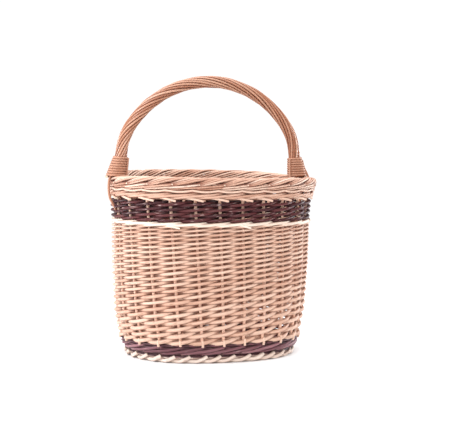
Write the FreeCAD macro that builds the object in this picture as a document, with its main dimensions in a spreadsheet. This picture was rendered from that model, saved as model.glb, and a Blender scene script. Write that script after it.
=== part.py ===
import FreeCAD, Part
import Sketcher
import math
import os

from FreeCAD import Placement, Rotation, Vector

# Oval willow basket with a fixed roped bow handle. Millimetres, +Z up.
# X runs along the oval from one handle foot to the other, and Z = 0 is the floor.
# The oval is four tangent arcs. Every wall is an offset of one middle oval, in
# which the stakes stand, and that oval grows from the foot to the rim.

X_AXIS = Vector(1, 0, 0)
Y_AXIS = Vector(0, 1, 0)
Z_AXIS = Vector(0, 0, 1)

DIMENSIONS = (
    # the shape of the oval, as parts of its half length
    ("plan_ratio", 0.74),
    ("end_ratio", 0.70),
    # heights of the zones of the wall, from the floor up
    ("floor", 0.0),
    ("foot_top", 12.0),
    ("base_wale_top", 38.0),
    ("siding_low", 90.0),
    ("siding_high", 170.0),
    ("siding_top", 258.0),
    ("cream_wale_top", 270.0),
    ("dark_band_top", 309.0),
    ("top_wale_top", 326.0),
    ("border_top", 350.0),
    # half length of the middle oval at those heights
    ("mid_floor", 151.0),
    ("mid_foot", 161.5),
    ("mid_base_wale", 174.0),
    ("mid_low", 184.0),
    ("mid_high", 188.5),
    ("mid_siding", 190.0),
    ("mid_cream", 190.5),
    ("mid_band", 193.0),
    ("mid_rim", 194.0),
    # thickness of the zones
    ("wall_thick", 14.0),
    ("top_wale_thick", 18.0),
    ("border_thick", 22.0),
    # stakes
    ("stake_count", 24.0),
    ("stake_dia", 6.0),
    ("stake_lean", 6.0),
    ("stake_foot_run", 15.0),
    ("stake_bend_out", 3.0),
    ("stake_end", 338.0),
    # base
    ("base_bottom", 10.0),
    ("base_top", 24.0),
    ("base_half_length", 152.0),
    ("stick_height", 17.0),
    ("long_stick_dia", 7.0),
    ("long_stick_gap", 20.0),
    ("long_stick_half", 136.0),
    ("cross_stick_dia", 10.0),
    ("cross_stick_gap", 42.0),
    ("cross_stick_spare", 16.0),
    ("slit_play", 0.4),
    # handle
    ("handle_shift", -5.0),
    ("handle_apex", 533.5),
    ("handle_half_span", 186.0),
    ("handle_side_height", 388.0),
    ("handle_side_radius", 105.0),
    ("handle_slant", 7.0),
    ("bow_dia", 14.0),
    ("strand_dia", 4.6),
    ("strand_ring", 9.35),
    ("strand_count", 12.0),
    ("strand_foot", 352.0),
    ("tongue_dia", 8.0),
    ("tongue_bottom", 200.0),
    ("tongue_half_span", 190.0),
    ("lapping_bottom", 350.3),
    ("lapping_top", 388.0),
    ("lapping_bore", 23.4),
    ("lapping_top_length", 31.0),
    ("lapping_foot_length", 43.0),
    ("lapping_width", 29.0),
    ("lapping_lean", 2.0),
    ("lapping_bore_run", 80.0),
    ("tongue_overlap", 6.0),
    ("leg_rod_dia", 5.0),
)

# The leg rod's line in the plane of the bow: out from the middle, and height.
# It leaves the lapping, passes outside the border and dives into the dark band.
LEG_ROD_LINE = (
    (197.0, 382.0),
    (200.0, 366.0),
    (206.0, 353.0),
    (212.5, 342.0),
    (212.5, 322.0),
    (203.0, 303.0),
    (195.5, 284.0),
)

CROSS_STICKS = 5
LONG_STICKS = 3
ROPING_GROUPS = 4

doc = FreeCAD.newDocument("oval_basket")
sheet = doc.addObject("Spreadsheet::Sheet", "Dims")


def fill_sheet():
    """Write each driving dimension as a plain number with its alias."""
    for row, (alias, value) in enumerate(DIMENSIONS, start=1):
        sheet.set(f"A{row}", alias)
        sheet.set(f"B{row}", str(value))
        sheet.setAlias(f"B{row}", alias)
    doc.recompute()


def dim(alias):
    """The value of one cell of the sheet."""
    return float(sheet.get(alias))


def cell(alias):
    """The name by which an expression reads one cell."""
    return f"Dims.{alias}"


# ---------------------------------------------------------------- the oval

def oval_numbers(half_length, offset):
    """Radii and the joint of the arcs of an oval, as numbers."""
    ratio, end = dim("plan_ratio"), dim("end_ratio")
    side = ((1 - end) ** 2 + ratio ** 2 - end ** 2) / (2 * (ratio - end))
    end_radius = end * half_length + offset
    side_radius = side * half_length + offset
    join_x = (1 - end) / (side - end) * side_radius
    join_y = (side - ratio) / (side - end) * side_radius - (side - ratio) * half_length
    return end_radius, side_radius, join_x, join_y


def oval_expressions(half_length, offset):
    """The same four values, as expressions that read the sheet."""
    ratio, end = cell("plan_ratio"), cell("end_ratio")
    side = f"(((1 - {end})^2 + {ratio}^2 - {end}^2) / (2 * ({ratio} - {end})))"
    end_radius = f"{end} * {half_length} + {offset}"
    side_radius = f"({side} * {half_length} + {offset})"
    join_x = f"(1 - {end}) / ({side} - {end}) * {side_radius}"
    join_y = (f"({side} - {ratio}) / ({side} - {end}) * {side_radius}"
              f" - ({side} - {ratio}) * {half_length}")
    return end_radius, side_radius, join_x, join_y


def arc_between(start, end, radius, centre):
    """An arc through two points, bulging away from the centre of the oval."""
    chord = end - start
    middle = start + chord * 0.5
    rise = radius - math.sqrt(radius ** 2 - (chord.Length / 2) ** 2)
    away = (middle - centre).normalize()
    return Part.Arc(start, middle + away * rise, end)


def origin_plane(body, role):
    """One of the three origin planes of a body."""
    return next(item for item in body.Origin.OriginFeatures if item.Role == role)


def bind(sketch, name, expression):
    """Bind one named constraint of a sketch to an expression."""
    sketch.setExpression(f"Constraints.{name}", expression)


def oval_sketch(body, name, height, half_length, offset_sign, thickness):
    """A closed oval of four arcs on its own level of a body."""
    sketch = body.newObject("Sketcher::SketchObject", name)
    sketch.AttachmentSupport = [(origin_plane(body, "XY_Plane"), "")]
    sketch.MapMode = "FlatFace"
    sketch.setExpression("AttachmentOffset.Base.z", cell(height))
    offset = offset_sign * dim(thickness) / 2
    end_radius, side_radius, join_x, join_y = oval_numbers(dim(half_length), offset)
    corners = [Vector(join_x, -join_y, 0), Vector(join_x, join_y, 0),
               Vector(-join_x, join_y, 0), Vector(-join_x, -join_y, 0)]
    centre = Vector(0, 0, 0)
    arcs = []
    for number in range(4):
        start, end = corners[number], corners[(number + 1) % 4]
        radius = end_radius if number % 2 == 0 else side_radius
        arcs.append(sketch.addGeometry(arc_between(start, end, radius, centre), False))
    for number in range(4):
        following = arcs[(number + 1) % 4]
        sketch.addConstraint(Sketcher.Constraint("Coincident", arcs[number], 2, following, 1))
    sizes = oval_expressions(cell(half_length), f"({offset_sign} * {cell(thickness)} / 2)")
    signs = ((1, -1), (1, 1), (-1, 1), (-1, -1))
    for number, (sign_x, sign_y) in enumerate(signs):
        for axis, sign, value, size in (("X", sign_x, join_x, sizes[2]),
                                        ("Y", sign_y, join_y, sizes[3])):
            index = sketch.addConstraint(
                Sketcher.Constraint(f"Distance{axis}", -1, 1, arcs[number], 1, sign * value))
            sketch.renameConstraint(index, f"corner{number}{axis}")
            bind(sketch, f"corner{number}{axis}", f"{sign} * ({size})")
        radius, size = (end_radius, sizes[0]) if number % 2 == 0 else (side_radius, sizes[1])
        index = sketch.addConstraint(Sketcher.Constraint("Radius", arcs[number], radius))
        sketch.renameConstraint(index, f"radius{number}")
        bind(sketch, f"radius{number}", size)
    return sketch


def loft(body, kind, name, sections):
    """Add or take away a loft through the sections of a body."""
    feature = body.newObject(f"PartDesign::{kind}Loft", name)
    feature.Profile = sections[0]
    feature.Sections = sections[1:]
    feature.Ruled = len(sections) == 2
    return feature


def wall_zone(label, stations, thickness="wall_thick"):
    """A ring of the wall: an outer loft with an inner loft taken away."""
    body = doc.addObject("PartDesign::Body", f"{label}_body")
    outer = []
    inner = []
    for number, (height, half_length) in enumerate(stations):
        outer.append(oval_sketch(body, f"{label}_out{number}", height, half_length, 1, thickness))
        inner.append(oval_sketch(body, f"{label}_in{number}", height, half_length, -1, thickness))
    loft(body, "Additive", f"{label}_outside", outer)
    loft(body, "Subtractive", f"{label}_inside", inner)
    doc.recompute()
    return body


# ------------------------------------------------------------------- rods

def rod(label, points, diameter_expression, radius_now):
    """A round rod swept along straight runs through the points."""
    path = doc.addObject("Part::Polygon", f"{label}_path")
    path.Nodes = points
    path.Close = False
    circle = doc.addObject("Part::Circle", f"{label}_section")
    circle.Radius = radius_now
    circle.setExpression("Radius", f"{diameter_expression} / 2")
    circle.Placement = Placement(points[0], Rotation(Z_AXIS, points[1] - points[0]))
    doc.recompute()
    sweep = doc.addObject("Part::Sweep", f"{label}_rod")
    sweep.Sections = [circle]
    sweep.Spine = (path, [f"Edge{number}" for number in range(1, len(points))])
    sweep.Solid = True
    sweep.Frenet = False
    sweep.Transition = "Right corner"
    sweep.Label = label
    return sweep


def unit_oval_radius(angle):
    """Distance from the centre to an oval of half length 1, at a plan angle."""
    ratio, end = dim("plan_ratio"), dim("end_ratio")
    side = ((1 - end) ** 2 + ratio ** 2 - end ** 2) / (2 * (ratio - end))
    cosine, sine = abs(math.cos(angle)), abs(math.sin(angle))
    join = math.atan2((side - ratio) * end, side * (1 - end))
    if math.atan2(sine, cosine) <= join:
        across = (1 - end) * sine
        return (1 - end) * cosine + math.sqrt(end ** 2 - across ** 2)
    across = (side - ratio) * cosine
    return math.sqrt(side ** 2 - across ** 2) - (side - ratio) * sine


def stake_angles():
    """Plan angles that space the stakes evenly along the oval."""
    count = int(dim("stake_count"))
    steps = 2880
    angles = [2 * math.pi * step / steps for step in range(steps + 1)]
    lengths = [0.0]
    for first, second in zip(angles, angles[1:]):
        start = unit_oval_radius(first)
        chord = start * (second - first)
        lengths.append(lengths[-1] + math.hypot(chord, unit_oval_radius(second) - start))
    wanted = [(number + 0.5) / count * lengths[-1] for number in range(count)]
    return [angles[min(range(steps), key=lambda step: abs(lengths[step] - length))]
            for length in wanted]


def stake(number, angle):
    """One stake, from beside the base up through the wall into the border."""
    base_level = dim("stick_height")
    bend = dim("mid_foot") + dim("stake_bend_out")
    stations = (
        (base_level, bend - dim("stake_foot_run")),
        (base_level, bend),
        (dim("base_wale_top"), dim("mid_base_wale")),
        (dim("siding_low"), dim("mid_low")),
        (dim("siding_high"), dim("mid_high")),
        (dim("siding_top"), dim("mid_siding")),
        (dim("stake_end"), dim("mid_rim")),
    )
    lean = math.radians(dim("stake_lean"))
    rise = dim("stake_end") - dim("base_wale_top")
    points = []
    for height, half_length in stations:
        share = max(0.0, height - dim("base_wale_top")) / rise
        turned = angle - lean * share
        reach = half_length * unit_oval_radius(turned)
        points.append(Vector(reach * math.cos(turned), reach * math.sin(turned), height))
    return rod(f"stake_{number:02d}", points, cell("stake_dia"), dim("stake_dia") / 2)


# ------------------------------------------------------------------- base

def round_stick(name, diameter, half_length, place, along):
    """A straight round stick centred on a place."""
    stick = doc.addObject("Part::Cylinder", name)
    stick.setExpression("Radius", f"{cell(diameter)} / 2")
    stick.setExpression("Height", f"2 * ({half_length})")
    doc.recompute()
    reach = float(stick.Height) / 2
    stick.Placement = Placement(place - along * reach, Rotation(Z_AXIS, along))
    return stick


def base_sticks():
    """Long sticks that pass through slits in the cross sticks."""
    level = dim("stick_height")
    long_sticks = []
    for number in range(LONG_STICKS):
        across = (number - (LONG_STICKS - 1) / 2) * dim("long_stick_gap")
        stick = round_stick(f"long_stick_{number + 1}_rod", "long_stick_dia",
                            cell("long_stick_half"), Vector(0, across, level), X_AXIS)
        stick.Label = f"base_long_stick_{number + 1}"
        long_sticks.append(stick)
    cross_sticks = []
    for number in range(CROSS_STICKS):
        along = (number - (CROSS_STICKS - 1) / 2) * dim("cross_stick_gap")
        width_share = math.sqrt(1 - (along / dim("base_half_length")) ** 2)
        half = dim("base_half_length") * dim("plan_ratio") * width_share - dim("cross_stick_spare")
        stick = round_stick(f"cross_stick_{number + 1}_rod", "cross_stick_dia",
                            f"{half:.1f}", Vector(along, 0, level), Y_AXIS)
        slit = doc.addObject("Part::Box", f"cross_stick_{number + 1}_slit")
        slit.setExpression("Length", f"2 * {cell('cross_stick_dia')}")
        slit.setExpression("Width", f"2 * {cell('long_stick_gap')} + {cell('long_stick_dia')}"
                                    f" + {cell('slit_play')}")
        slit.setExpression("Height", f"{cell('long_stick_dia')} + {cell('slit_play')}")
        doc.recompute()
        slit.Placement = Placement(Vector(along - slit.Length.Value / 2, -slit.Width.Value / 2,
                                          level - slit.Height.Value / 2), Rotation())
        cut = doc.addObject("Part::Cut", f"cross_stick_{number + 1}_cut")
        cut.Base = stick
        cut.Tool = slit
        cut.Label = f"base_cross_stick_{number + 1}"
        cross_sticks.append(cut)
    return long_sticks, cross_sticks


def base_weave_body():
    """The woven floor of the basket, as one oval plate."""
    body = doc.addObject("PartDesign::Body", "base_weave_body")
    sketch = oval_sketch(body, "base_weave_outline", "base_bottom", "base_half_length", 0,
                         "wall_thick")
    pad = body.newObject("PartDesign::Pad", "base_weave_plate")
    pad.Profile = sketch
    pad.setExpression("Length", f"{cell('base_top')} - {cell('base_bottom')}")
    doc.recompute()
    return body


def cut_away(body, tools, label):
    """Take the shapes of other pieces out of a body, as its channels."""
    group = doc.addObject("Part::Compound", f"{label}_channels")
    group.Links = tools
    cut = doc.addObject("Part::Cut", f"{label}_cut")
    cut.Base = body
    cut.Tool = group
    cut.Label = label
    return cut


# ----------------------------------------------------------------- handle

def handle_numbers():
    """Centres and angles of the three arcs of the bow."""
    slant = math.radians(dim("handle_slant"))
    side = dim("handle_side_radius")
    level = dim("handle_side_height")
    fall = level + side * math.sin(slant) - dim("border_top")
    side_x = dim("handle_half_span") - side * math.cos(slant) - fall * math.tan(slant)
    above = dim("handle_apex") - level
    top = (side_x ** 2 + above ** 2 - side ** 2) / (2 * (above - side))
    top_z = dim("handle_apex") - top
    join = math.atan2(level - top_z, side_x)
    return slant, side_x, side, level, top, top_z, join


def bow_points(outward, foot_height):
    """The six joints of the bow's line, moved outward by an offset."""
    slant, side_x, side, level, _, _, join = handle_numbers()
    tangent_x = side_x + (side + outward) * math.cos(slant)
    tangent_z = level + (side + outward) * math.sin(slant)
    foot_x = tangent_x + (tangent_z - foot_height) * math.tan(slant)
    join_x = side_x + (side + outward) * math.cos(join)
    join_z = level + (side + outward) * math.sin(join)
    right = [(foot_x, foot_height), (tangent_x, tangent_z), (join_x, join_z)]
    left = [(-x, z) for x, z in reversed(right)]
    return right + left


def bow_spine(name, outward, across):
    """A wire of two legs and three tangent arcs, in a plane beside the bow."""
    _, side_x, side, level, top, top_z, _ = handle_numbers()
    shift = dim("handle_shift")
    flat = bow_points(outward, dim("strand_foot"))
    nodes = [Vector(x + shift, across, z) for x, z in flat]

    def bend(first, second, centre_x, centre_z, radius):
        centre = Vector(centre_x + shift, across, centre_z)
        middle = (nodes[first] + nodes[second]) * 0.5
        crown = centre + (middle - centre).normalize() * (radius + outward)
        return Part.Arc(nodes[first], crown, nodes[second]).toShape()

    edges = [
        Part.LineSegment(nodes[0], nodes[1]).toShape(),
        bend(1, 2, side_x, level, side),
        bend(2, 3, 0.0, top_z, top),
        bend(3, 4, -side_x, level, side),
        Part.LineSegment(nodes[4], nodes[5]).toShape(),
    ]
    spine = doc.addObject("Part::Feature", f"{name}_line")
    spine.Shape = Part.Wire(edges)
    return spine, nodes


def bow_sweep(name, outward, across, diameter):
    """A round rod that follows the bow at an offset from its middle line."""
    spine, nodes = bow_spine(name, outward, across)
    circle = doc.addObject("Part::Circle", f"{name}_section")
    circle.setExpression("Radius", f"{cell(diameter)} / 2")
    circle.Placement = Placement(nodes[0], Rotation(Z_AXIS, nodes[1] - nodes[0]))
    doc.recompute()
    sweep = doc.addObject("Part::Sweep", f"{name}_sweep")
    sweep.Sections = [circle]
    sweep.Spine = (spine, [f"Edge{number}" for number in range(1, 6)])
    sweep.Solid = True
    sweep.Frenet = False
    return sweep


def tongue(side):
    """The thinned end of the bow, pushed down into the wall."""
    name = "right" if side > 0 else "left"
    shift = dim("handle_shift")
    foot_x, foot_z = bow_points(0.0, dim("strand_foot"))[0]
    slant = math.radians(dim("handle_slant"))
    top = Vector(side * foot_x + shift, 0, foot_z)
    leg_line = Vector(-side * math.sin(slant), 0, math.cos(slant))
    start = top + leg_line * dim("tongue_overlap")
    middle = Vector(side * dim("tongue_half_span"), 0, dim("dark_band_top"))
    bottom = Vector(side * dim("mid_high"), 0, dim("tongue_bottom"))
    return rod(f"bow_tongue_{name}", [start, top, middle, bottom], cell("tongue_dia"),
               dim("tongue_dia") / 2)


def handle_bow():
    """The thick willow rod of the handle with its two tongues."""
    arch = bow_sweep("bow", 0.0, 0.0, "bow_dia")
    tongues = [tongue(1), tongue(-1)]
    fuse = doc.addObject("Part::MultiFuse", "handle_bow_fuse")
    fuse.Shapes = [arch] + tongues
    fuse.Label = "handle_bow"
    return fuse, tongues


def handle_roping():
    """The rods roped round the bow, kept in groups as the maker inserts them."""
    count = int(dim("strand_count"))
    ring = dim("strand_ring")
    groups = [[] for _ in range(ROPING_GROUPS)]
    for number in range(count):
        angle = 2 * math.pi * number / count
        strand = bow_sweep(f"strand_{number + 1}", ring * math.cos(angle),
                           ring * math.sin(angle), "strand_dia")
        groups[number * ROPING_GROUPS // count].append(strand)
    pieces = []
    for number, strands in enumerate(groups, start=1):
        group = doc.addObject("Part::Compound", f"roping_{number}")
        group.Links = strands
        group.Label = f"handle_roping_{number}"
        pieces.append(group)
    return pieces


def leg_rod(side):
    """The rod that leaves the lapping and dives outside the border."""
    name = "right" if side > 0 else "left"
    points = [Vector(side * reach, 0, height) for reach, height in LEG_ROD_LINE]
    return rod(f"handle_leg_rod_{name}", points, cell("leg_rod_dia"), dim("leg_rod_dia") / 2)


def lapping(side, leg):
    """The tapered sleeve of fine turns that binds the foot of the handle."""
    name = "right" if side > 0 else "left"
    shift = dim("handle_shift")
    slant = math.radians(dim("handle_slant"))
    foot_x, foot_z = bow_points(0.0, dim("strand_foot"))[0]

    def section(suffix, height, length, centre_x):
        ellipse = doc.addObject("Part::Ellipse", f"lapping_{name}_{suffix}")
        ellipse.setExpression("MajorRadius", f"{cell(length)} / 2")
        ellipse.setExpression("MinorRadius", f"{cell('lapping_width')} / 2")
        ellipse.Placement = Placement(Vector(side * centre_x + shift, 0, dim(height)), Rotation())
        return ellipse

    top_x = foot_x - (dim("lapping_top") - foot_z) * math.tan(slant)
    sections = [section("foot", "lapping_bottom", "lapping_foot_length", foot_x + dim("lapping_lean")),
                section("top", "lapping_top", "lapping_top_length", top_x)]
    doc.recompute()
    sleeve = doc.addObject("Part::Loft", f"lapping_{name}_sleeve")
    sleeve.Sections = sections
    sleeve.Solid = True
    sleeve.Ruled = True
    bore = doc.addObject("Part::Cylinder", f"lapping_{name}_bore")
    bore.setExpression("Radius", f"{cell('lapping_bore')} / 2")
    bore.setExpression("Height", cell("lapping_bore_run"))
    leg_line = Vector(-side * math.sin(slant), 0, math.cos(slant))
    foot = Vector(side * foot_x + shift, 0, foot_z)
    below = leg_line * (dim("lapping_bore_run") / 4)
    bore.Placement = Placement(foot - below, Rotation(Z_AXIS, leg_line))
    doc.recompute()
    return cut_away(sleeve, [bore, leg], f"handle_lapping_{name}")


# --------------------------------------------------------------- assembly

def build():
    """Make every piece and return the ones that are exported."""
    stakes = [stake(number, angle) for number, angle in enumerate(stake_angles(), start=1)]
    bow, tongues = handle_bow()
    legs = [leg_rod(1), leg_rod(-1)]
    long_sticks, cross_sticks = base_sticks()
    zones = (
        ("foot_border", (("floor", "mid_floor"), ("foot_top", "mid_foot")), "wall_thick"),
        ("base_wale", (("foot_top", "mid_foot"), ("base_wale_top", "mid_base_wale")),
         "wall_thick"),
        ("siding", (("base_wale_top", "mid_base_wale"), ("siding_low", "mid_low"),
                    ("siding_high", "mid_high"), ("siding_top", "mid_siding")), "wall_thick"),
        ("cream_wale", (("siding_top", "mid_siding"), ("cream_wale_top", "mid_cream")),
         "wall_thick"),
        ("dark_band", (("cream_wale_top", "mid_cream"), ("dark_band_top", "mid_band")),
         "wall_thick"),
        ("top_wale", (("dark_band_top", "mid_band"), ("top_wale_top", "mid_rim")),
         "top_wale_thick"),
        ("border", (("top_wale_top", "mid_rim"), ("border_top", "mid_rim")), "border_thick"),
    )
    pieces = stakes + long_sticks + cross_sticks + legs + [bow]
    for label, stations, thickness in zones:
        body = wall_zone(label, stations, thickness)
        pieces.append(cut_away(body, stakes + tongues + legs, label))
    floor_tools = stakes + long_sticks + cross_sticks
    pieces.append(cut_away(base_weave_body(), floor_tools, "base_weave"))
    pieces += handle_roping()
    pieces += [lapping(1, legs[0]), lapping(-1, legs[1])]
    doc.recompute()
    return pieces


def check(pieces):
    """Stop if any object failed or any shape is empty or not valid."""
    for item in doc.Objects:
        if "Invalid" in item.State or "Error" in item.State:
            raise RuntimeError(f"{item.Name} failed: {item.State}")
    for piece in pieces:
        if piece.Shape.isNull() or not piece.Shape.isValid() or not piece.Shape.Solids:
            raise RuntimeError(f"{piece.Label} has no valid solid")


def write(pieces):
    """Write each piece to its own STEP file."""
    os.makedirs("parts", exist_ok=True)
    for piece in pieces:
        piece.Shape.exportStep(f"parts/{piece.Label}.step")
        print(piece.Label, len(piece.Shape.Solids), round(piece.Shape.Volume / 1000, 1), "cm3")


fill_sheet()
parts = build()
check(parts)
write(parts)
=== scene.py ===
import math

import bpy
import numpy as np
from mathutils import Matrix, Vector


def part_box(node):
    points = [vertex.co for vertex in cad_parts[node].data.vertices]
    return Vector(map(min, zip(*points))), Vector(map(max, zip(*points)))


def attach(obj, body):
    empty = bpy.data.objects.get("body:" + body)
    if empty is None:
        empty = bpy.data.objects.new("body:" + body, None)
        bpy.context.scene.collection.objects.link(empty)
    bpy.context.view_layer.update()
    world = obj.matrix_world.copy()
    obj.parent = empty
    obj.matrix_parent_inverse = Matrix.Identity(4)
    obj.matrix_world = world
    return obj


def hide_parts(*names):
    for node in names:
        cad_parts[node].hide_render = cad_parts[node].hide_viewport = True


# Oval willow basket with a fixed roped handle, in metres. X runs from one handle
# foot to the other and Z = 0 is the floor. The wall is described by three numbers:
# place counts stakes round the oval, height is above the floor, and offset is
# outward from the middle oval in which the stakes stand.

MM = 0.001
FULL_TURN = 2 * math.pi
UP = np.array([0.0, 0.0, 1.0])
ACROSS = np.array([0.0, 1.0, 0.0])

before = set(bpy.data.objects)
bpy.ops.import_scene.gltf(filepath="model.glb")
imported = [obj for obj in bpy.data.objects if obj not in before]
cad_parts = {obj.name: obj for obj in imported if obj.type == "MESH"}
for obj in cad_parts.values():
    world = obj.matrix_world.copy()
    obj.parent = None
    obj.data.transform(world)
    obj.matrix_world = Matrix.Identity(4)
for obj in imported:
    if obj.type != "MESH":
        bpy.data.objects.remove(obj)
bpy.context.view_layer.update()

# -------------------------------------------------------------- dimensions

STAKES = 24
STAKE_RADIUS = 3.0 * MM
STAKE_LEAN = math.radians(6.0)
LEAN_END = 338.0 * MM
# Radius of the ends of the oval for a half length of 1.
END_RATIO = 0.70
WALL_HALF = 7.0 * MM
WEAVE_PROUD = 2.2 * MM
TOP_WALE_HALF = 9.0 * MM
BORDER_HALF = 11.0 * MM
FLOOR_HALF_LENGTH = 151.0 * MM
RIM_RISE = 7.0 * MM
RIM_RISE_TURN = -0.4
RIM_DIP = 5.0 * MM
RIM_SPREAD = 6.0 * MM
SIDING_BULGE = ((90.0 * MM, 184.0 * MM), (170.0 * MM, 188.5 * MM))
SWAY = 7.0 * MM
SWAY_TURN = math.radians(250.0)
SWAY_HEIGHTS = (38.0 * MM, 75.0 * MM, 130.0 * MM, 240.0 * MM)
# Step along a woven rod in stakes, and points of a rod that goes all the way round.
STEP = 0.1
RING_STEPS = STAKES * 8 + 1

HANDLE_SHIFT = -5.0 * MM
HANDLE_HALF_SPAN = 186.0 * MM
HANDLE_SIDE_HEIGHT = 388.0 * MM
HANDLE_SIDE_RADIUS = 105.0 * MM
HANDLE_SLANT = math.radians(7.0)
BOW_RADIUS = 7.0 * MM
STRAND_RING = 9.35 * MM
STRAND_RADIUS = 2.3 * MM
STRAND_COUNT = 12
STRAND_FOOT = 352.0 * MM
LAPPING_FOOT_HALF = 21.5 * MM
LAPPING_TOP_HALF = 15.5 * MM
LEFT_FLARE = 3.5 * MM
LEG_ROD_RADIUS = 2.5 * MM
LEG_ROD_LINE = (
    (193.0, 382.0),
    (198.0, 366.0),
    (205.0, 353.0),
    (209.5, 342.0),
    (210.5, 325.0),
    (208.0, 308.0),
    (201.0, 294.0),
    (195.5, 284.0),
)


def zone_range(node):
    """Lowest and highest level of a zone of the wall."""
    low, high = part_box(node)
    return low.z, high.z


# ---------------------------------------------------------------- the oval

def unit_oval():
    """Plan angles, radii, normal directions and shares of the length of an oval of half length 1."""
    ratio = (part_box("siding")[1].y - WALL_HALF) / (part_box("siding")[1].x - WALL_HALF)
    side = ((1 - END_RATIO) ** 2 + ratio ** 2 - END_RATIO ** 2) / (2 * (ratio - END_RATIO))
    angle = np.linspace(0.0, FULL_TURN, 2881)
    cosine, sine = np.abs(np.cos(angle)), np.abs(np.sin(angle))
    join = math.atan2((side - ratio) * END_RATIO, side * (1 - END_RATIO))
    at_end = np.arctan2(sine, cosine) <= join
    across = np.where(at_end, (1 - END_RATIO) * sine, 0.0)
    end_part = (1 - END_RATIO) * cosine + np.sqrt(END_RATIO ** 2 - across ** 2)
    side_part = np.sqrt(side ** 2 - ((side - ratio) * cosine) ** 2) - (side - ratio) * sine
    radius = np.where(at_end, end_part, side_part)
    x, y = radius * np.cos(angle), radius * np.sin(angle)
    centre_x = np.where(at_end, (1 - END_RATIO) * np.sign(np.cos(angle)), 0.0)
    centre_y = np.where(at_end, 0.0, -(side - ratio) * np.sign(np.sin(angle)))
    normal = np.unwrap(np.arctan2(y - centre_y, x - centre_x))
    steps = np.hypot(np.diff(x), np.diff(y))
    share = np.concatenate([[0.0], np.cumsum(steps)]) / steps.sum()
    return angle, radius, normal, share


def wall_profile():
    """Heights and half lengths of the middle oval, with its corners eased."""
    stations = [(0.0, FLOOR_HALF_LENGTH)]
    zones = (("foot_border", WALL_HALF), ("base_wale", WALL_HALF), ("siding", WALL_HALF),
             ("cream_wale", WALL_HALF), ("dark_band", WALL_HALF), ("top_wale", TOP_WALE_HALF),
             ("border", BORDER_HALF))
    for zone, half in zones:
        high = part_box(zone)[1]
        stations.append((high.z, high.x - half))
    stations = sorted(stations + list(SIDING_BULGE))
    heights = np.arange(-20, 371) * MM
    rough = np.interp(heights, [level for level, _ in stations], [half for _, half in stations])
    window = np.hanning(27)
    padded = np.pad(rough, 13, mode="reflect", reflect_type="odd")
    return heights, np.convolve(padded, window / window.sum(), mode="valid")


ANGLES, RADII, NORMALS, SHARES = unit_oval()
PROFILE_HEIGHTS, PROFILE_HALVES = wall_profile()
PROFILE_SLOPES = np.gradient(PROFILE_HALVES, PROFILE_HEIGHTS)
LEAN_START = zone_range("base_wale")[1]
BAND_TOP, RIM_TOP = zone_range("dark_band")[1], zone_range("border")[1]


def wall(place, height, offset):
    """Points of the wall for places counted in stakes, heights and outward offsets."""
    place, height, offset = np.broadcast_arrays(place, height, offset)
    share = ((place + 0.5) / STAKES) % 1.0
    rise = np.clip((height - LEAN_START) / (LEAN_END - LEAN_START), 0.0, 1.0)
    angle = (np.interp(share, SHARES, ANGLES) - STAKE_LEAN * rise) % FULL_TURN
    radius = np.interp(angle, ANGLES, RADII)
    normal = np.interp(angle, ANGLES, NORMALS)
    above_band = np.clip((height - BAND_TOP) / (RIM_TOP - BAND_TOP), 0.0, 1.0)
    lift = RIM_RISE * (0.5 + 0.5 * np.sin(angle + RIM_RISE_TURN)) - RIM_DIP * np.cos(angle) ** 8
    sway = np.interp(height, SWAY_HEIGHTS, (0.0, SWAY, SWAY, 0.0)) * np.sin(angle - SWAY_TURN)
    lift = lift * above_band + sway
    half = np.interp(height, PROFILE_HEIGHTS, PROFILE_HALVES)
    slope = np.interp(height, PROFILE_HEIGHTS, PROFILE_SLOPES)
    tilt = np.arctan(slope * radius * np.cos(normal - angle))
    reach = offset * np.cos(tilt) + RIM_SPREAD * above_band * np.clip(np.cos(angle), 0.0, 1.0) ** 4
    x = half * radius * np.cos(angle) + reach * np.cos(normal)
    y = half * radius * np.sin(angle) + reach * np.sin(normal)
    return np.stack([x, y, height + lift - offset * np.sin(tilt)], axis=-1)


def smooth_line(keys, samples):
    """A Catmull-Rom line through rows of numbers, with some samples between each pair."""
    keys = np.asarray(keys, dtype=float)
    ends = (2 * keys[0] - keys[1], 2 * keys[-1] - keys[-2])
    padded = np.vstack([ends[0], keys, ends[1]])
    t = np.linspace(0.0, 1.0, samples, endpoint=False)[:, None]
    runs = []
    for before, start, end, after in zip(padded, padded[1:], padded[2:], padded[3:]):
        bend = 2 * before - 5 * start + 4 * end - after
        twist = 3 * (start - end) + after - before
        runs.append(start + 0.5 * t * (end - before + t * (bend + t * twist)))
    return np.vstack(runs + [keys[-1:]])


def wander(rng, steps, length, amount):
    """A slow random swing with a mean of zero, for a hand-made line."""
    swing = np.zeros_like(steps)
    for share in (1.0, 0.53, 0.29):
        swing += share * np.sin(FULL_TURN * (steps / (length * share) + rng.random()))
    return amount * swing


# -------------------------------------------------------------------- rods

def add_object(name, data):
    """A new object of the scene."""
    item = bpy.data.objects.new(name, data)
    bpy.context.scene.collection.objects.link(item)
    return item


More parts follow.
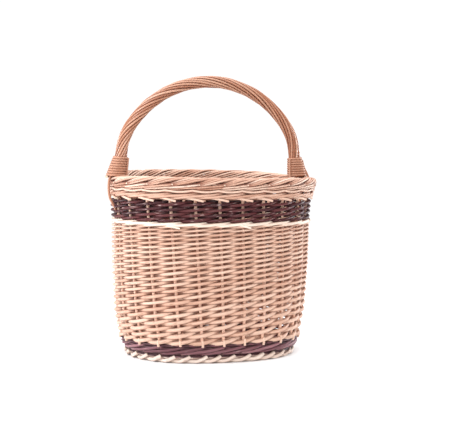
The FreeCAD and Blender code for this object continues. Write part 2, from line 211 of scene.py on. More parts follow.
class Rods:
    """Round rods of one zone, gathered into one mesh with numbers for the materials."""

    def __init__(self, seed, sides=8):
        self.rng = np.random.default_rng(seed)
        self.sides = sides
        self.vertices = []
        self.faces = []
        self.along = []
        self.tones = []
        self.cuts = []
        self.painted_shades = []
        self.count = 0

    def add(self, points, radius, tone=None, reference=UP, outward=None, depth=0.0, dark=0.0,
            edge=0.5):
        """One rod along some points, with a radius or a radius for each point.

        Painted shade darkens its surface towards the edges seen from outside, where the rod
        passes behind a stake (depth below 0), and by a number of its own (dark)."""
        points = np.asarray(points, dtype=float)
        number = len(points)
        radius = np.broadcast_to(radius, number)
        tone = self.rng.random() if tone is None else tone
        forward = np.gradient(points, axis=0)
        forward /= np.linalg.norm(forward, axis=1)[:, None]
        first = np.cross(forward, reference)
        first /= np.linalg.norm(first, axis=1)[:, None]
        second = np.cross(forward, first)
        turn = np.arange(self.sides) * FULL_TURN / self.sides
        cosine, sine = np.cos(turn)[None, :, None], np.sin(turn)[None, :, None]
        ring = first[:, None] * cosine + second[:, None] * sine
        outward = first if outward is None else outward
        outward = outward / np.linalg.norm(outward, axis=1)[:, None]
        facing = (ring * outward[:, None]).sum(axis=-1)
        depth = np.broadcast_to(depth, number)[:, None]
        dark = np.broadcast_to(dark, number)[:, None]
        # Painted shade: darker towards the rod's sides, where stacked rods meet in creases, on its
        # outer face where it passes behind a stake, and by its own number (dark).
        edges = edge * (1 - np.abs(facing)) ** 1.5
        hidden = np.clip(-depth * facing, 0.0, 1.0)
        shade = np.clip(edges + hidden + dark, 0.0, 1.0)
        surface = points[:, None] + ring * radius[:, None, None]
        steps = np.linalg.norm(np.diff(points, axis=0), axis=1)
        length = np.concatenate([[0.0], np.cumsum(steps)]) + self.rng.random() * 10
        grain = self.rng.random(2)
        along = np.empty((number, self.sides, 3))
        along[..., 0] = length[:, None]
        along[..., 1] = radius[:, None] * np.cos(turn) + grain[0]
        along[..., 2] = radius[:, None] * np.sin(turn) + grain[1]
        self.painted_shades.append(shade.ravel())
        self.surface(surface, along, tone)
        # The cut ends take the rod's own painted shade (dark).
        for end in (0, -1):
            self.painted_shades.append(np.full(self.sides + 1, float(dark[end, 0])))
            self.cap(points[end], surface[end], along[end], tone, end == 0)

    def surface(self, rings, along, tone):
        """The quads between rings of vertices."""
        rows, sides = rings.shape[:2]
        index = np.arange(rows * sides).reshape(rows, sides) + self.count
        following = np.roll(index, -1, axis=1)
        quads = np.stack([index[:-1], following[:-1], following[1:], index[1:]], axis=-1)
        self.faces += quads.reshape(-1, 4).tolist()
        self.keep(rings.reshape(-1, 3), along.reshape(-1, 3), tone, 0.0)

    def cap(self, middle, ring, along, tone, is_start):
        """The cut face at one end of a rod."""
        sides = len(ring)
        index = np.arange(sides) + self.count
        following = np.roll(index, -1)
        centre = np.full(sides, self.count + sides)
        first, second = (following, index) if is_start else (index, following)
        self.faces += np.stack([centre, first, second], axis=-1).tolist()
        self.keep(np.vstack([ring, middle]), np.vstack([along, along.mean(axis=0)]), tone, 1.0)

    def keep(self, vertices, along, tone, cut):
        """Store vertices with their numbers."""
        self.vertices.append(vertices)
        self.along.append(along)
        self.tones.append(np.full(len(vertices), tone))
        self.cuts.append(np.full(len(vertices), cut))
        self.count += len(vertices)

    def piece(self, name, material, slot, *nodes):
        """The finished object, riding on the frame in place of its CAD nodes."""
        mesh = bpy.data.meshes.new(name)
        mesh.from_pydata(np.vstack(self.vertices).tolist(), [], self.faces)
        along = mesh.attributes.new("along", "FLOAT_VECTOR", "POINT")
        along.data.foreach_set("vector", np.vstack(self.along).ravel())
        for label, numbers in (("tone", self.tones), ("cut", self.cuts), ("shade", self.painted_shades)):
            attribute = mesh.attributes.new(label, "FLOAT", "POINT")
            attribute.data.foreach_set("value", np.concatenate(numbers))
        mesh.shade_smooth()
        mesh.materials.append(material)
        item = add_object(name, mesh)
        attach(item, "root")
        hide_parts(*nodes)


# --------------------------------------------------------------- materials

def srgb(red, green, blue):
    """A linear colour from sRGB numbers of 0 to 255."""
    values = []
    for part in (red, green, blue):
        share = part / 255
        values.append(share / 12.92 if share <= 0.04045 else ((share + 0.055) / 1.055) ** 2.4)
    return (*values, 1.0)


class Nodes:
    """A short way to write one material's nodes."""

    def __init__(self, name):
        self.material = bpy.data.materials.new(name)
        self.material.use_nodes = True
        self.tree = self.material.node_tree
        self.shader = self.tree.nodes["Principled BSDF"]

    def add(self, kind, inputs=None, **settings):
        """A node with its settings, and values or links for its inputs."""
        item = self.tree.nodes.new(kind)
        for name, value in settings.items():
            setattr(item, name, value)
        for name, value in (inputs or {}).items():
            self.feed(item.inputs[name], value)
        return item

    def feed(self, socket, value):
        """Link an output to a socket, or set the socket's value."""
        if isinstance(value, bpy.types.NodeSocket):
            self.tree.links.new(value, socket)
        else:
            socket.default_value = value

    def noise(self, vector, scale, detail=2.0, roughness=0.5):
        """Noise stretched by a scale for each axis."""
        mapping = self.add("ShaderNodeMapping", {"Vector": vector, "Scale": scale})
        noise = self.add("ShaderNodeTexNoise", {"Vector": mapping.outputs["Vector"], "Scale": 1.0,
                                                "Detail": detail, "Roughness": roughness})
        return noise.outputs["Fac"]

    def ramp(self, share, stops):
        """A colour ramp from pairs of position and colour."""
        ramp = self.add("ShaderNodeValToRGB", {"Fac": share})
        elements = ramp.color_ramp.elements
        while len(elements) < len(stops):
            elements.new(0.5)
        for element, (position, colour) in zip(elements, stops):
            element.position = position
            element.color = colour
        return ramp.outputs["Color"]

    def level(self, share, low, high, to_low=0.0, to_high=1.0):
        """A number moved from one range to another, held inside it."""
        item = self.add("ShaderNodeMapRange", {"Value": share, "From Min": low, "From Max": high,
                                               "To Min": to_low, "To Max": to_high})
        return item.outputs["Result"]

    def sum(self, first, second, weight):
        """first + weight * second."""
        item = self.add("ShaderNodeMath", operation="MULTIPLY_ADD")
        self.feed(item.inputs[0], second)
        self.feed(item.inputs[1], weight)
        self.feed(item.inputs[2], first)
        return item.outputs["Value"]

    def mix(self, share, first, second, blend="MIX"):
        """Two colours mixed."""
        item = self.add("ShaderNodeMix", data_type="RGBA", blend_type=blend)
        self.feed(item.inputs["Factor"], share)
        self.feed(item.inputs[6], first)
        self.feed(item.inputs[7], second)
        return item.outputs[2]

    def bump(self, height, strength, distance):
        """A bump on the shader."""
        item = self.add("ShaderNodeBump", {"Height": height, "Strength": strength,
                                           "Distance": distance})
        self.feed(self.shader.inputs["Normal"], item.outputs["Normal"])


# Noise cycles per metre across and along the grain.
GRAIN_SCALE = (900.0, 40.0)
PATCH_SCALE = (260.0, 14.0)
FLECK_SCALE = (330.0, 75.0)
GRAIN_DEPTH = 0.25 * MM
CUT_SHARE = 0.75
# Share of the painted shade colour where the painted shade is full.
PAINTED_SHADE_SHARE = 0.88


def willow(name, tones, fleck, fleck_share=0.5, roughness=(0.42, 0.62), grain_axis=None,
           spread=0.45, streak=0.3, painted_shade_tone=None, bump=0.2, gloss=0.25):
    """Willow with lengthwise grain, flecks, paler cut ends, painted shade and a tone for each rod.

    Without a grain axis the grain follows the rods' own numbers. With one it runs
    along that axis of the object, which has no cut ends or painted shade."""
    nodes = Nodes(name)
    if grain_axis is None:
        vector = nodes.add("ShaderNodeAttribute", attribute_name="along").outputs["Vector"]
        tone = nodes.add("ShaderNodeAttribute", attribute_name="tone").outputs["Fac"]
        stretch = 0
    else:
        vector = nodes.add("ShaderNodeTexCoord").outputs["Object"]
        tone = nodes.noise(vector, (9.0, 9.0, 9.0))
        stretch = "XYZ".index(grain_axis)

    def stretched(across, lengthwise):
        """A scale for each axis, with its own number along the grain."""
        scale = [across, across, across]
        scale[stretch] = lengthwise
        return scale

    grain = nodes.noise(vector, stretched(*GRAIN_SCALE), 3.0, 0.6)
    patches = nodes.noise(vector, stretched(*PATCH_SCALE))
    streaks = nodes.sum(nodes.sum(nodes.level(tone, 0.0, 1.0, 0.0, spread), patches, 0.6),
                        grain, streak)
    share = nodes.level(streaks, 0.15, 0.75 + spread + streak)
    count = len(tones) - 1
    colour = nodes.ramp(share, [(number / count, tint) for number, tint in enumerate(tones)])
    spots = nodes.noise(vector, stretched(*FLECK_SCALE))
    flecks = nodes.level(spots, 0.60, 0.72, 0.0, fleck_share)
    colour = nodes.mix(flecks, colour, fleck)
    if grain_axis is None:
        cut = nodes.add("ShaderNodeAttribute", attribute_name="cut").outputs["Fac"]
        colour = nodes.mix(nodes.level(cut, 0.0, 1.0, 0.0, CUT_SHARE), colour, CUT_TONE)
        # Painted shade: the shade attribute mixes the colour towards a dark painted shade colour.
        shade = nodes.add("ShaderNodeAttribute", attribute_name="shade").outputs["Fac"]
        shade = nodes.level(shade, 0.0, 1.0, 0.0, PAINTED_SHADE_SHARE)
        colour = nodes.mix(shade, colour, painted_shade_tone or PAINTED_SHADE_TONE)
    nodes.feed(nodes.shader.inputs["Base Color"], colour)
    nodes.feed(nodes.shader.inputs["Roughness"], nodes.level(grain, 0.3, 0.7, *roughness))
    nodes.shader.inputs["Specular IOR Level"].default_value = gloss
    nodes.bump(nodes.sum(patches, grain, 0.8), bump, GRAIN_DEPTH)
    return nodes.material


NATURAL_TONES = [srgb(188, 140, 116), srgb(214, 174, 152), srgb(228, 196, 176), srgb(236, 212, 198)]
BORDER_TONES = [srgb(170, 114, 88), srgb(212, 170, 148), srgb(232, 200, 180), srgb(244, 222, 208)]
FOOT_TONES = [srgb(226, 196, 178), srgb(240, 220, 206), srgb(248, 236, 226)]
CREAM_TONES = [srgb(226, 200, 180), srgb(240, 222, 206), srgb(248, 238, 226)]
DARK_TONES = [srgb(42, 16, 20), srgb(72, 32, 36), srgb(104, 52, 52), srgb(148, 96, 96)]
PLUM_TONES = [srgb(68, 38, 44), srgb(114, 72, 78), srgb(154, 108, 114), srgb(196, 154, 158)]
HANDLE_TONES = [srgb(142, 82, 56), srgb(182, 124, 95), srgb(212, 162, 134), srgb(234, 200, 178)]
BINDING_TONES = [srgb(172, 118, 92), srgb(198, 148, 122), srgb(218, 174, 150)]
STAKE_TONES = [srgb(242, 192, 164), srgb(250, 208, 184), srgb(254, 224, 206)]
KNOT = srgb(120, 66, 40)
SCUFF = srgb(206, 180, 174)
STAIN = srgb(200, 150, 110)
CUT_TONE = srgb(250, 232, 205)
# Colours of painted shade, for pale and for dark willow.
PAINTED_SHADE_TONE = srgb(118, 48, 28)
DARK_PAINTED_SHADE_TONE = srgb(26, 10, 12)


# ------------------------------------------------------------------- wall

def level_height(level, pitch, decay):
    """Height climbed after some levels whose pitch shrinks by a share each."""
    if decay == 0:
        return pitch * level
    return pitch / decay * (1 - np.exp(-decay * level))


def randing(rods, bottom, pitch, decay, last):
    """One rod from each stake, over one and under one, climbing a level at each stake."""
    steps = np.arange(-0.9, last, STEP)
    fill = 0.555
    press = 0.8
    for stake in range(STAKES):
        rng = rods.rng
        spacing = pitch * np.exp(-decay * steps)
        radius = fill * spacing * (1 + rng.normal(0, 0.05)) * (1 + wander(rng, steps, 7.0, 0.02))
        height = bottom + pitch / 2 + level_height(steps, pitch, decay)
        height = height + wander(rng, steps, 5.0, 0.04) * spacing
        outer = WALL_HALF + WEAVE_PROUD - radius
        reach = np.minimum(press * (STAKE_RADIUS + radius), outer)
        swing = np.cos(math.pi * steps)
        offset = outer - reach + reach * swing + wander(rng, steps, 3.1, 0.12 * MM)
        # depth paints shade on the outer face where the rod passes behind a stake.
        rods.add(wall(stake + steps, height, offset), radius, depth=0.9 * swing)


def stake_butts(rods, bottom):
    """The pale butts of side rods that stand over the top edge of the base wale."""
    radius = 2.5 * MM
    for stake in range(STAKES):
        low = bottom - rods.rng.uniform(1.0, 4.0) * MM
        height = np.array([bottom + 8.0 * MM, bottom + 3.0 * MM, low])
        offset = np.array([5.5, 7.6, 8.2]) * MM
        rods.add(wall(stake, height, offset), radius, 0.9, reference=ACROSS, edge=0.0)


def siding():
    """The natural body of the wall."""
    bottom = zone_range("siding")[0]
    pitch = 7.2 * MM
    decay = 0.0163
    levels = 42.4
    rods = Rods(11)
    randing(rods, bottom, pitch, decay, levels)
    stake_butts(rods, bottom)
    material = willow("natural_willow", NATURAL_TONES, KNOT, 0.45)
    rods.piece("siding_weave", material, "natural_willow", "siding")


def dark_band():
    """The dark band under the rim."""
    bottom, top = zone_range("dark_band")
    levels = 8
    rods = Rods(12)
    randing(rods, bottom, (top - bottom) / levels, 0, levels - 0.9)
    material = willow("dark_willow", DARK_TONES, SCUFF, 0.5, (0.35, 0.55),
                      painted_shade_tone=DARK_PAINTED_SHADE_TONE)
    rods.piece("dark_band_weave", material, "dark_willow", "dark_band")


def wale(rods, zone, front, radius, half, sill=0.0, tones=(0.0, 1.0)):
    """One rod from each stake, in front of some stakes between two that it passes behind."""
    bottom, top = zone_range(zone)
    steps = np.arange(-1.0, front + STEP / 2, STEP)
    sharpness = 1.6
    outward_bias = 0.5
    bottom = bottom + sill
    climb = (top - bottom - 2 * radius) / front
    for stake in range(STAKES):
        rng = rods.rng
        swing = np.cos(FULL_TURN * (steps - (front - 1) / 2) / (front + 1))
        reach = half + WEAVE_PROUD - radius
        bend = np.tanh(sharpness * swing + outward_bias)
        offset = reach * bend / math.tanh(sharpness + outward_bias)
        height = bottom + radius + climb * (steps + 0.5) + wander(rng, steps, 3.0, 0.4 * MM)
        size = radius * (1 + rng.normal(0, 0.05)) * (1 + wander(rng, steps, 4.0, 0.02))
        # depth and edge paint shade behind the stakes and in the creases between rods.
        rods.add(wall(stake + steps, height, offset), size, rng.uniform(*tones),
                 depth=0.8 * swing, edge=0.9)


def tips(rods, level, run, radius, offset, share=1.0):
    """Cut tips that slant down to the right out of a wale, at some share of the stakes."""
    for stake in range(STAKES):
        rng = rods.rng
        length = run * (1 + rng.normal(0, 0.15))
        lift = rng.normal(0, 0.3 * MM)
        if rng.random() > share:
            continue
        keys = [(stake - 0.35, level + 5.0 * MM, offset - 2.0 * radius),
                (stake - 0.05, level + 3.2 * MM, offset),
                (stake + length, level - 0.4 * MM, offset + 0.6 * MM + lift)]
        line = smooth_line(keys, 4)
        size = np.linspace(1.0, 0.85, len(line)) * radius
        rods.add(wall(line[:, 0], line[:, 1], line[:, 2]), size, 0.7, edge=0.7)


def cream_wale():
    """The pale wale under the dark band."""
    bottom = zone_range("cream_wale")[0]
    half = WALL_HALF + 1.2 * MM
    rods = Rods(13)
    wale(rods, "cream_wale", 2, 3.0 * MM, half)
    tips(rods, bottom, 0.3, 2.2 * MM, half, 0.4)
    material = willow("pale_willow", CREAM_TONES, STAIN, 0.25)
    rods.piece("cream_wale_weave", material, "pale_willow", "cream_wale")


def top_wale(material):
    """The natural wale under the border, with a waved rod above it and tips below."""
    bottom, top = zone_range("top_wale")
    rods = Rods(14)
    wale(rods, "top_wale", 3, 2.8 * MM, TOP_WALE_HALF, tones=(0.0, 0.5))
    tips(rods, bottom, 0.32, 2.7 * MM, TOP_WALE_HALF)
    place = np.linspace(0.0, STAKES, STAKES * 10 + 1)
    wave = np.abs(np.sin(math.pi * (place + 0.1)))
    height = top + (1.6 - 2.6 * wave) * MM
    offset = TOP_WALE_HALF + (0.2 + 0.6 * wave) * MM
    rods.add(wall(place, height, offset), 2.2 * MM, 0.75, edge=0.9)
    # A rod set back inside the wale, darkened with painted shade to show the gap under the border.
    rods.add(wall(place, top, TOP_WALE_HALF - 4.0 * MM), 3.4 * MM, 0.2, dark=0.7)
    rods.piece("top_wale_weave", material, "natural_willow", "top_wale")


def base_wale():
    """The plum wale at the turn of the wall, over rods darkened with painted shade that hide the
    stakes.
    """
    bottom, top = zone_range("base_wale")
    rods = Rods(15)
    wale(rods, "base_wale", 3, 3.1 * MM, WALL_HALF + 0.6 * MM, sill=2.0 * MM)
    place = np.linspace(0.0, STAKES, RING_STEPS)
    core_rods = 5
    core_radius = 2.5 * MM
    core_offset = 3.6 * MM
    # Core rods set behind the wale, darkened with painted shade (dark).
    for height in np.linspace(bottom + core_radius, top - core_radius, core_rods):
        rods.add(wall(place, height, core_offset), core_radius, 0.2, dark=0.6)
    material = willow("plum_willow", PLUM_TONES, SCUFF, 0.3, (0.35, 0.55), spread=0.8,
                      painted_shade_tone=DARK_PAINTED_SHADE_TONE)
    rods.piece("base_wale_weave", material, "dark_willow", "base_wale")


def border_section(travel, radius):
    """Height and offset after some travel round the section of the border, from low outside."""
    bottom, top = zone_range("border")
    middle = (top + bottom) / 2
    low_outside, low_inside = -70.0, 250.0
    angle = np.radians(np.linspace(low_outside, low_inside, 321))
    cosine, sine = np.cos(angle), np.sin(angle)
    reach = BORDER_HALF + WEAVE_PROUD - radius
    offset = reach * np.sign(cosine) * np.abs(cosine) ** 0.6
    height = middle + ((top - bottom) / 2 - radius) * np.sign(sine) * np.abs(sine) ** 0.75
    steps = np.hypot(np.diff(offset), np.diff(height))
    length = np.concatenate([[0.0], np.cumsum(steps)])
    return np.interp(travel, length, height), np.interp(travel, length, offset), length[-1]


def hump(steps, middle, width):
    """A smooth rise to 1 round some step."""
    return np.exp(-((steps - middle) / width) ** 2)


# Height over the bottom of the border and offset of the rings inside it, in mm.
BORDER_CORE = (
    (4.0, 5.0),
    (4.0, -5.0),
    (12.0, 6.5),
    (12.0, 0.0),
    (12.0, -6.5),
    (18.0, 3.5),
    (18.0, -3.5),
)


def border():
    """The rolled border: rods rise to a notch at each stake, and others wind on over the rim."""
    bottom, top = zone_range("border")
    middle = (top + bottom) / 2
    rods = Rods(16)
    radius = 1.85 * MM
    climb = 11.5 * MM
    spacing = 3.9 * MM
    notch = 9.5 * MM
    sink_depth = 4.0 * MM
    section_length = border_section(0.0, radius)[2]

    def strand(stake, steps, travel, sink, crest=0.0):
        """One rod round the section, sunk by a share, its crest raised by a height."""
        rng = rods.rng
        height, offset, _ = border_section(travel, radius)
        offset = offset - sink_depth * sink + wander(rng, steps, 2.0, 0.2 * MM)
        height = height + wander(rng, steps, 2.0, 0.25 * MM) + crest
        line = wall(stake + steps, height, offset)
        outward = line - wall(stake + steps, middle, 0.0)
        size = radius * (1 + rng.normal(0, 0.08))
        # Painted shade where the rod sinks in at the notch (dark).
        rods.add(line, size, outward=outward, dark=0.8 * sink, edge=0.7)

    low_start, low_end = -0.2, 1.3
    low_steps = np.arange(low_start, low_end + STEP / 10, STEP)
    low_rise = (low_steps - low_start) / (low_end - low_start)
    low_sink = hump(low_steps, low_start, 0.2) + hump(low_steps, low_end, 0.18)
    high_steps = np.arange(0.0, (section_length - notch) / climb + STEP / 10, STEP)
    high_sink = hump(high_steps, 0.0, 0.28)
    pinch = 1 - 0.45 * hump(high_steps, 0.0, 0.5)
    crests = np.array([0.0, 0.7, 1.8]) * MM
    for stake in range(STAKES):
        for member in range(2):
            travel = 1.0 * MM + (notch - 2.5 * MM) * low_rise + spacing * member
            strand(stake, low_steps, travel, low_sink)
        for member in range(3):
            travel = notch + climb * high_steps + (member - 0.4) * spacing * pinch
            strand(stake + 0.1, high_steps, travel, high_sink,
                   crests[member] * hump(high_steps, 1.9, 0.6))
        reach = BORDER_HALF + WEAVE_PROUD - rods.rng.uniform(1.5, 3.0) * MM
        stub = np.array([(0.02, 10.2, 2.0 * MM), (0.1, 10.8, 0.7 * reach), (0.18, 11.6, reach)])
        rods.add(wall(stake + stub[:, 0], bottom + stub[:, 1] * MM, stub[:, 2]), 1.7 * MM, 1.0)
    place = np.linspace(0.0, STAKES, RING_STEPS)
    for height, offset in BORDER_CORE:
        # Painted shade on the core rings inside the border, heavier on the outer ones.
        dark = 0.8 if offset > 0 else 0.2
        rods.add(wall(place, bottom + height * MM, offset * MM), 3.0 * MM, 0.6, dark=dark)
    material = willow("border_willow", BORDER_TONES, KNOT, 0.4, spread=1.1)
    rods.piece("border_plait", material, "natural_willow", "border")
    return material


# One stroke of the foot: stakes to the right, height and offset in mm.
FOOT_STROKE = (
    (0.0, 3.6, 1.5),
    (0.2, 4.2, 5.6),
    (0.55, 7.4, 8.4),
    (0.95, 12.6, 8.6),
    (1.15, 15.0, 5.0),
)
# Rings of the foot: height, offset and radius in mm, and painted shade.
FOOT_RINGS = (
    (2.6, 4.5, 2.5, 0.0),
    (8.0, 3.0, 3.8, 0.55),
    (13.0, 3.0, 3.2, 0.55),
)


def foot_border():
    """The rolled foot under the base wale."""
    rods = Rods(17)
    strokes = 32
    radius = 4.0 * MM
    above_floor = 0.1 * MM

    def lay(line, size, **numbers):
        """One rod along rows of place, height and offset in mm, kept over the floor."""
        points = wall(line[:, 0], line[:, 1] * MM, line[:, 2] * MM)
        points[:, 2] = np.maximum(points[:, 2], np.max(size) + above_floor)
        rods.add(points, size, **numbers)

    for stroke in range(strokes):
        place = (stroke + rods.rng.uniform(-0.08, 0.08)) * STAKES / strokes
        line = smooth_line(FOOT_STROKE, 4) + (place, 0.0, 0.0)
        size = radius * (1 + rods.rng.normal(0, 0.06)) * np.linspace(0.85, 1.0, len(line))
        lay(line, size, edge=0.7)
    place = np.linspace(0.0, STAKES, RING_STEPS)
    for height, offset, size, dark in FOOT_RINGS:
        line = np.stack([place, np.full_like(place, height), np.full_like(place, offset)], axis=-1)
        # The last number paints shade on the rings behind the foot strokes.
        lay(line, size * MM, tone=0.9, dark=dark)
    material = willow("foot_willow", FOOT_TONES, KNOT, 0.3)
    rods.piece("foot_plait", material, "natural_willow", "foot_border")


def base_weave():
    """The woven floor: rings that pass over and under the sticks."""
    low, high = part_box("base_weave")
    level = (low.z + high.z) / 2
    rods = Rods(18)
    radius = 2.4 * MM
    pitch = 4.9 * MM
    swing = 5.4 * MM
    stick_spacing = 42.0 * MM
    squareness = 0.85
    turn = np.linspace(0.0, FULL_TURN, 240)
    unit_x = np.sign(np.cos(turn)) * np.abs(np.cos(turn)) ** squareness
    unit_y = np.sign(np.sin(turn)) * np.abs(np.sin(turn)) ** squareness
    for ring in range(int((high.y - radius) / pitch)):
        inset = radius + ring * pitch
        x = (high.x - inset) * unit_x
        y = (high.y - inset) * unit_y
        side = 1 if ring % 2 else -1
        over = side * swing * np.cos(math.pi * x / stick_spacing)
        rods.add(np.stack([x, y, level + over], axis=-1), radius)
    material = willow("base_willow", NATURAL_TONES, KNOT, 0.5)
    rods.piece("base_floor_weave", material, "base_willow", "base_weave")


# ----------------------------------------------------------------- handle

def bow_line(samples):
    """Points and outward directions along the bow, from the left foot to the right."""
    side = HANDLE_SIDE_RADIUS
    level = HANDLE_SIDE_HEIGHT
    rim = zone_range("border")[1]
    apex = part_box("handle_bow")[1].z - BOW_RADIUS
    fall = level + side * math.sin(HANDLE_SLANT) - rim
    side_x = HANDLE_HALF_SPAN - side * math.cos(HANDLE_SLANT) - fall * math.tan(HANDLE_SLANT)
    above = apex - level
    top = (side_x ** 2 + above ** 2 - side ** 2) / (2 * (above - side))
    top_z = apex - top
    join = math.atan2(level - top_z, side_x)
    tangent_x = side_x + side * math.cos(HANDLE_SLANT)
    tangent_z = level + side * math.sin(HANDLE_SLANT)
    foot_x = tangent_x + (tangent_z - STRAND_FOOT) * math.tan(HANDLE_SLANT)
    leg = math.hypot(foot_x - tangent_x, tangent_z - STRAND_FOOT)
    side_run = side * (join - HANDLE_SLANT)
    top_run = top * (math.pi / 2 - join)
    total = leg + side_run + top_run
    distance = np.linspace(-total, total, samples)
    left = np.abs(distance)
    on_top = left <= top_run
    on_side = ~on_top & (left <= top_run + side_run)
    angle = np.where(on_top, math.pi / 2 - left / top,
                     np.where(on_side, join - (left - top_run) / side, HANDLE_SLANT))
    down = np.clip(left - top_run - side_run, 0.0, None)
    x = np.where(on_top, top * np.cos(angle), side_x + side * np.cos(angle))
    z = np.where(on_top, top_z + top * np.sin(angle), level + side * np.sin(angle))
    x = x + down * math.sin(HANDLE_SLANT)
    z = z - down * math.cos(HANDLE_SLANT)
    sign = np.where(distance < 0, -1.0, 1.0)
    points = np.stack([sign * x + HANDLE_SHIFT, np.zeros(samples), z], axis=-1)
    outward = np.stack([sign * np.cos(angle), np.zeros(samples), np.sin(angle)], axis=-1)
    return points, outward, (distance + total) / (2 * total)


def roping():
    """The rods that wind slowly round the bow."""
    points, outward, share = bow_line(170)
    rods = Rods(21, 10)
    # Turns from the left foot, slower towards the right.
    twist = FULL_TURN * (3.6 * share - 2.2 * share ** 2 + 0.67 * share ** 3)
    for strand in range(STRAND_COUNT):
        rng = rods.rng
        start = strand / STRAND_COUNT * FULL_TURN
        turn = start + twist + wander(rng, share, 0.5, 0.03)
        ring = STRAND_RING + rng.normal(0, 0.2 * MM) + wander(rng, share, 0.3, 0.15 * MM)
        spoke = np.cos(turn)[:, None] * outward - np.sin(turn)[:, None] * ACROSS
        size = STRAND_RADIUS * (1 + rng.normal(0, 0.04)) * (1 + wander(rng, share, 0.4, 0.02))
        # edge paints strong shade in the grooves between the strands.
        rods.add(points + ring[:, None] * spoke, size, reference=ACROSS, outward=spoke, edge=1.3)
    material = willow("handle_willow", HANDLE_TONES, KNOT, 0.2, (0.2, 0.3), spread=1.4,
                      streak=0.05, bump=0.0, gloss=0.6)
    rods.piece("handle_strands", material, "handle_willow",
               *[f"handle_roping_{number}" for number in range(1, 5)])


def lappings():
    """The fine turns that bind the feet of the handle, and the rod that locks them."""
    material = willow("binding_willow", BINDING_TONES, KNOT, 0.2, (0.36, 0.5), spread=0.7,
                      streak=0.05, bump=0.08)
    turns = 8
    lock_radius = 1.7 * MM
    lock_turn = math.radians(212.0)
    share = np.linspace(0.0, 1.0, turns * 28)
    half_length = LAPPING_FOOT_HALF + (LAPPING_TOP_HALF - LAPPING_FOOT_HALF) * share
    for side, name in ((1, "right"), (-1, "left")):
        node = f"handle_lapping_{name}"
        low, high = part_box(node)
        outer = high.x if side > 0 else -low.x
        flare = 0.0 if side > 0 else LEFT_FLARE
        centre = outer - LAPPING_FOOT_HALF - (LAPPING_FOOT_HALF - LAPPING_TOP_HALF) * share
        centre = centre + flare * (1 - 0.7 * share)
        rods = Rods(22 + side)
        bottom = low.z - RIM_DIP
        radius = (high.z - bottom) / turns / 2
        height = bottom + radius + share * (high.z - bottom - 2 * radius)
        length = half_length - radius
        width = high.y - radius
        angle = FULL_TURN * turns * share
        line = np.stack([side * (centre + length * np.cos(angle)), width * np.sin(angle), height],
                        axis=-1)
        outward = np.stack([side * np.cos(angle), np.sin(angle), np.zeros_like(angle)], axis=-1)
        # edge paints strong shade in the grooves between the turns.
        rods.add(line, radius * 0.97, 0.55, outward=outward, edge=1.3)
        proud = radius + 0.6 * MM
        lock_x = side * (centre + (length + proud) * math.cos(lock_turn))
        lock_y = np.full_like(share, (width + proud) * math.sin(lock_turn))
        lock = np.stack([lock_x, lock_y, height], axis=-1)
        rods.add(lock[::12], lock_radius, 1.0, reference=ACROSS, edge=0.3)
        rods.piece(f"handle_coil_{name}", material, "binding_willow", node)


def leg_rods():
    """The rods that leave the lappings and dive outside the border."""
    material = willow("leg_willow", BINDING_TONES, KNOT, 0.4)
    for side, name in ((1, "right"), (-1, "left")):
        rods = Rods(24 + side)
        keys = [(side * reach * MM, 0.0, level * MM) for reach, level in LEG_ROD_LINE]
        rods.add(smooth_line(keys, 6), LEG_ROD_RADIUS, 0.4, ACROSS)
        rods.piece(f"leg_rod_{name}", material, "handle_willow", f"handle_leg_rod_{name}")


def finish_cad_nodes():
    """Materials for the CAD nodes that stay."""
    stake = willow("stake_willow", STAKE_TONES, KNOT, 0.3, grain_axis="Z")
    along = willow("long_stick_willow", NATURAL_TONES, KNOT, 0.4, grain_axis="X")
    cross = willow("cross_stick_willow", NATURAL_TONES, KNOT, 0.4, grain_axis="Y")
    bow = willow("bow_willow", HANDLE_TONES, KNOT, 0.4, grain_axis="X")
    finishes = (("stake_", stake), ("base_long_stick_", along), ("base_cross_stick_", cross),
                ("handle_bow", bow))
    for node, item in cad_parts.items():
        for prefix, material in finishes:
            if node.startswith(prefix):
                item.data.materials.clear()
                item.data.materials.append(material)


# ------------------------------------------------------------------ studio

CAMERA_PLACE = Vector((-0.8715, -2.3533, 0.4463))
CAMERA_TARGET = Vector((0.0286, 0.0, 0.2579))
CAMERA_LENS = 101.9
CAMERA_ROLL = 0.0146


def aimed(place, target):
    """The matrix of a camera or light at a place, turned to a target."""
    turn = (target - place).to_track_quat("-Z", "Y").to_matrix().to_4x4()
    return Matrix.Translation(place) @ turn


def camera():
    """The camera in front of the basket, a little to the left and above its middle."""
    data = bpy.data.cameras.new("camera")
    data.lens = CAMERA_LENS
    data.sensor_width = 36.0
    item = add_object("camera", data)
    roll = Matrix.Rotation(CAMERA_ROLL, 4, "Z")
    item.matrix_world = aimed(CAMERA_PLACE, CAMERA_TARGET) @ roll
    bpy.context.scene.camera = item


def area_light(name, place, target, size, power, colour=(1.0, 1.0, 1.0)):
    """A square soft light aimed at a point, with its side in metres and power in watts."""
    data = bpy.data.lights.new(name, "AREA")
    data.size = size
    data.energy = power
    data.color = colour
    item = add_object(name, data)
    item.matrix_world = aimed(Vector(place), Vector(target))


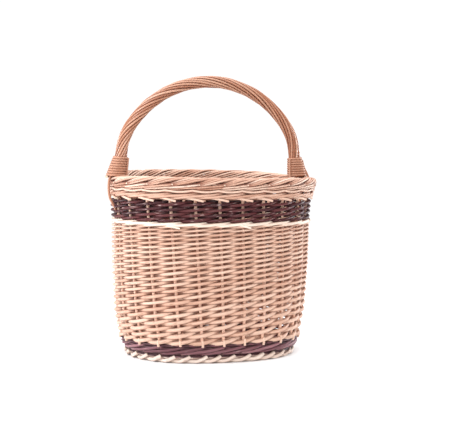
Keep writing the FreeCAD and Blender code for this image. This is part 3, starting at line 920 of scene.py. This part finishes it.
def floor():
    """A plain pale floor."""
    nodes = Nodes("studio_floor")
    vector = nodes.add("ShaderNodeTexCoord").outputs["Object"]
    greys = [(0.0, (0.93, 0.93, 0.93, 1.0)), (1.0, (0.96, 0.96, 0.96, 1.0))]
    colour = nodes.ramp(nodes.noise(vector, (3.0, 3.0, 3.0)), greys)
    nodes.feed(nodes.shader.inputs["Base Color"], colour)
    nodes.shader.inputs["Roughness"].default_value = 0.9
    reach = 1.5
    mesh = bpy.data.meshes.new("floor")
    corners = [(-reach, -reach, 0), (reach, -reach, 0), (reach, reach, 0), (-reach, reach, 0)]
    mesh.from_pydata(corners, [], [(0, 1, 2, 3)])
    mesh.materials.append(nodes.material)
    item = add_object("floor", mesh)


def studio():
    """White surroundings and soft lights."""
    lighting, backdrop = 0.32, 1.05
    world = bpy.data.worlds.new("studio")
    world.use_nodes = True
    tree = world.node_tree
    background = tree.nodes["Background"]
    background.inputs["Color"].default_value = (1.0, 1.0, 1.0, 1.0)
    path = tree.nodes.new("ShaderNodeLightPath")
    strength = tree.nodes.new("ShaderNodeMapRange")
    strength.inputs["To Min"].default_value = lighting
    strength.inputs["To Max"].default_value = backdrop
    tree.links.new(path.outputs["Is Camera Ray"], strength.inputs["Value"])
    tree.links.new(strength.outputs["Result"], background.inputs["Strength"])
    bpy.context.scene.world = world
    bpy.context.scene.view_settings.view_transform = "Standard"
    middle = (0.0, 0.0, 0.2)
    area_light("overhead", (0.0, 0.2, 2.6), middle, size=4.4, power=150.0)
    area_light("key", (-1.3, -2.4, 1.7), middle, size=1.0, power=42.0)
    area_light("left_edge", (-2.1, 0.35, 0.7), middle, size=0.6, power=32.0,
               colour=(0.85, 0.93, 1.0))
    area_light("right_edge", (2.2, 0.5, 0.6), middle, size=0.8, power=28.0,
               colour=(0.9, 0.95, 1.0))
    floor()


camera()
siding()
cream_wale()
dark_band()
base_wale()
top_wale(border())
foot_border()
base_weave()
roping()
lappings()
leg_rods()
finish_cad_nodes()
studio()
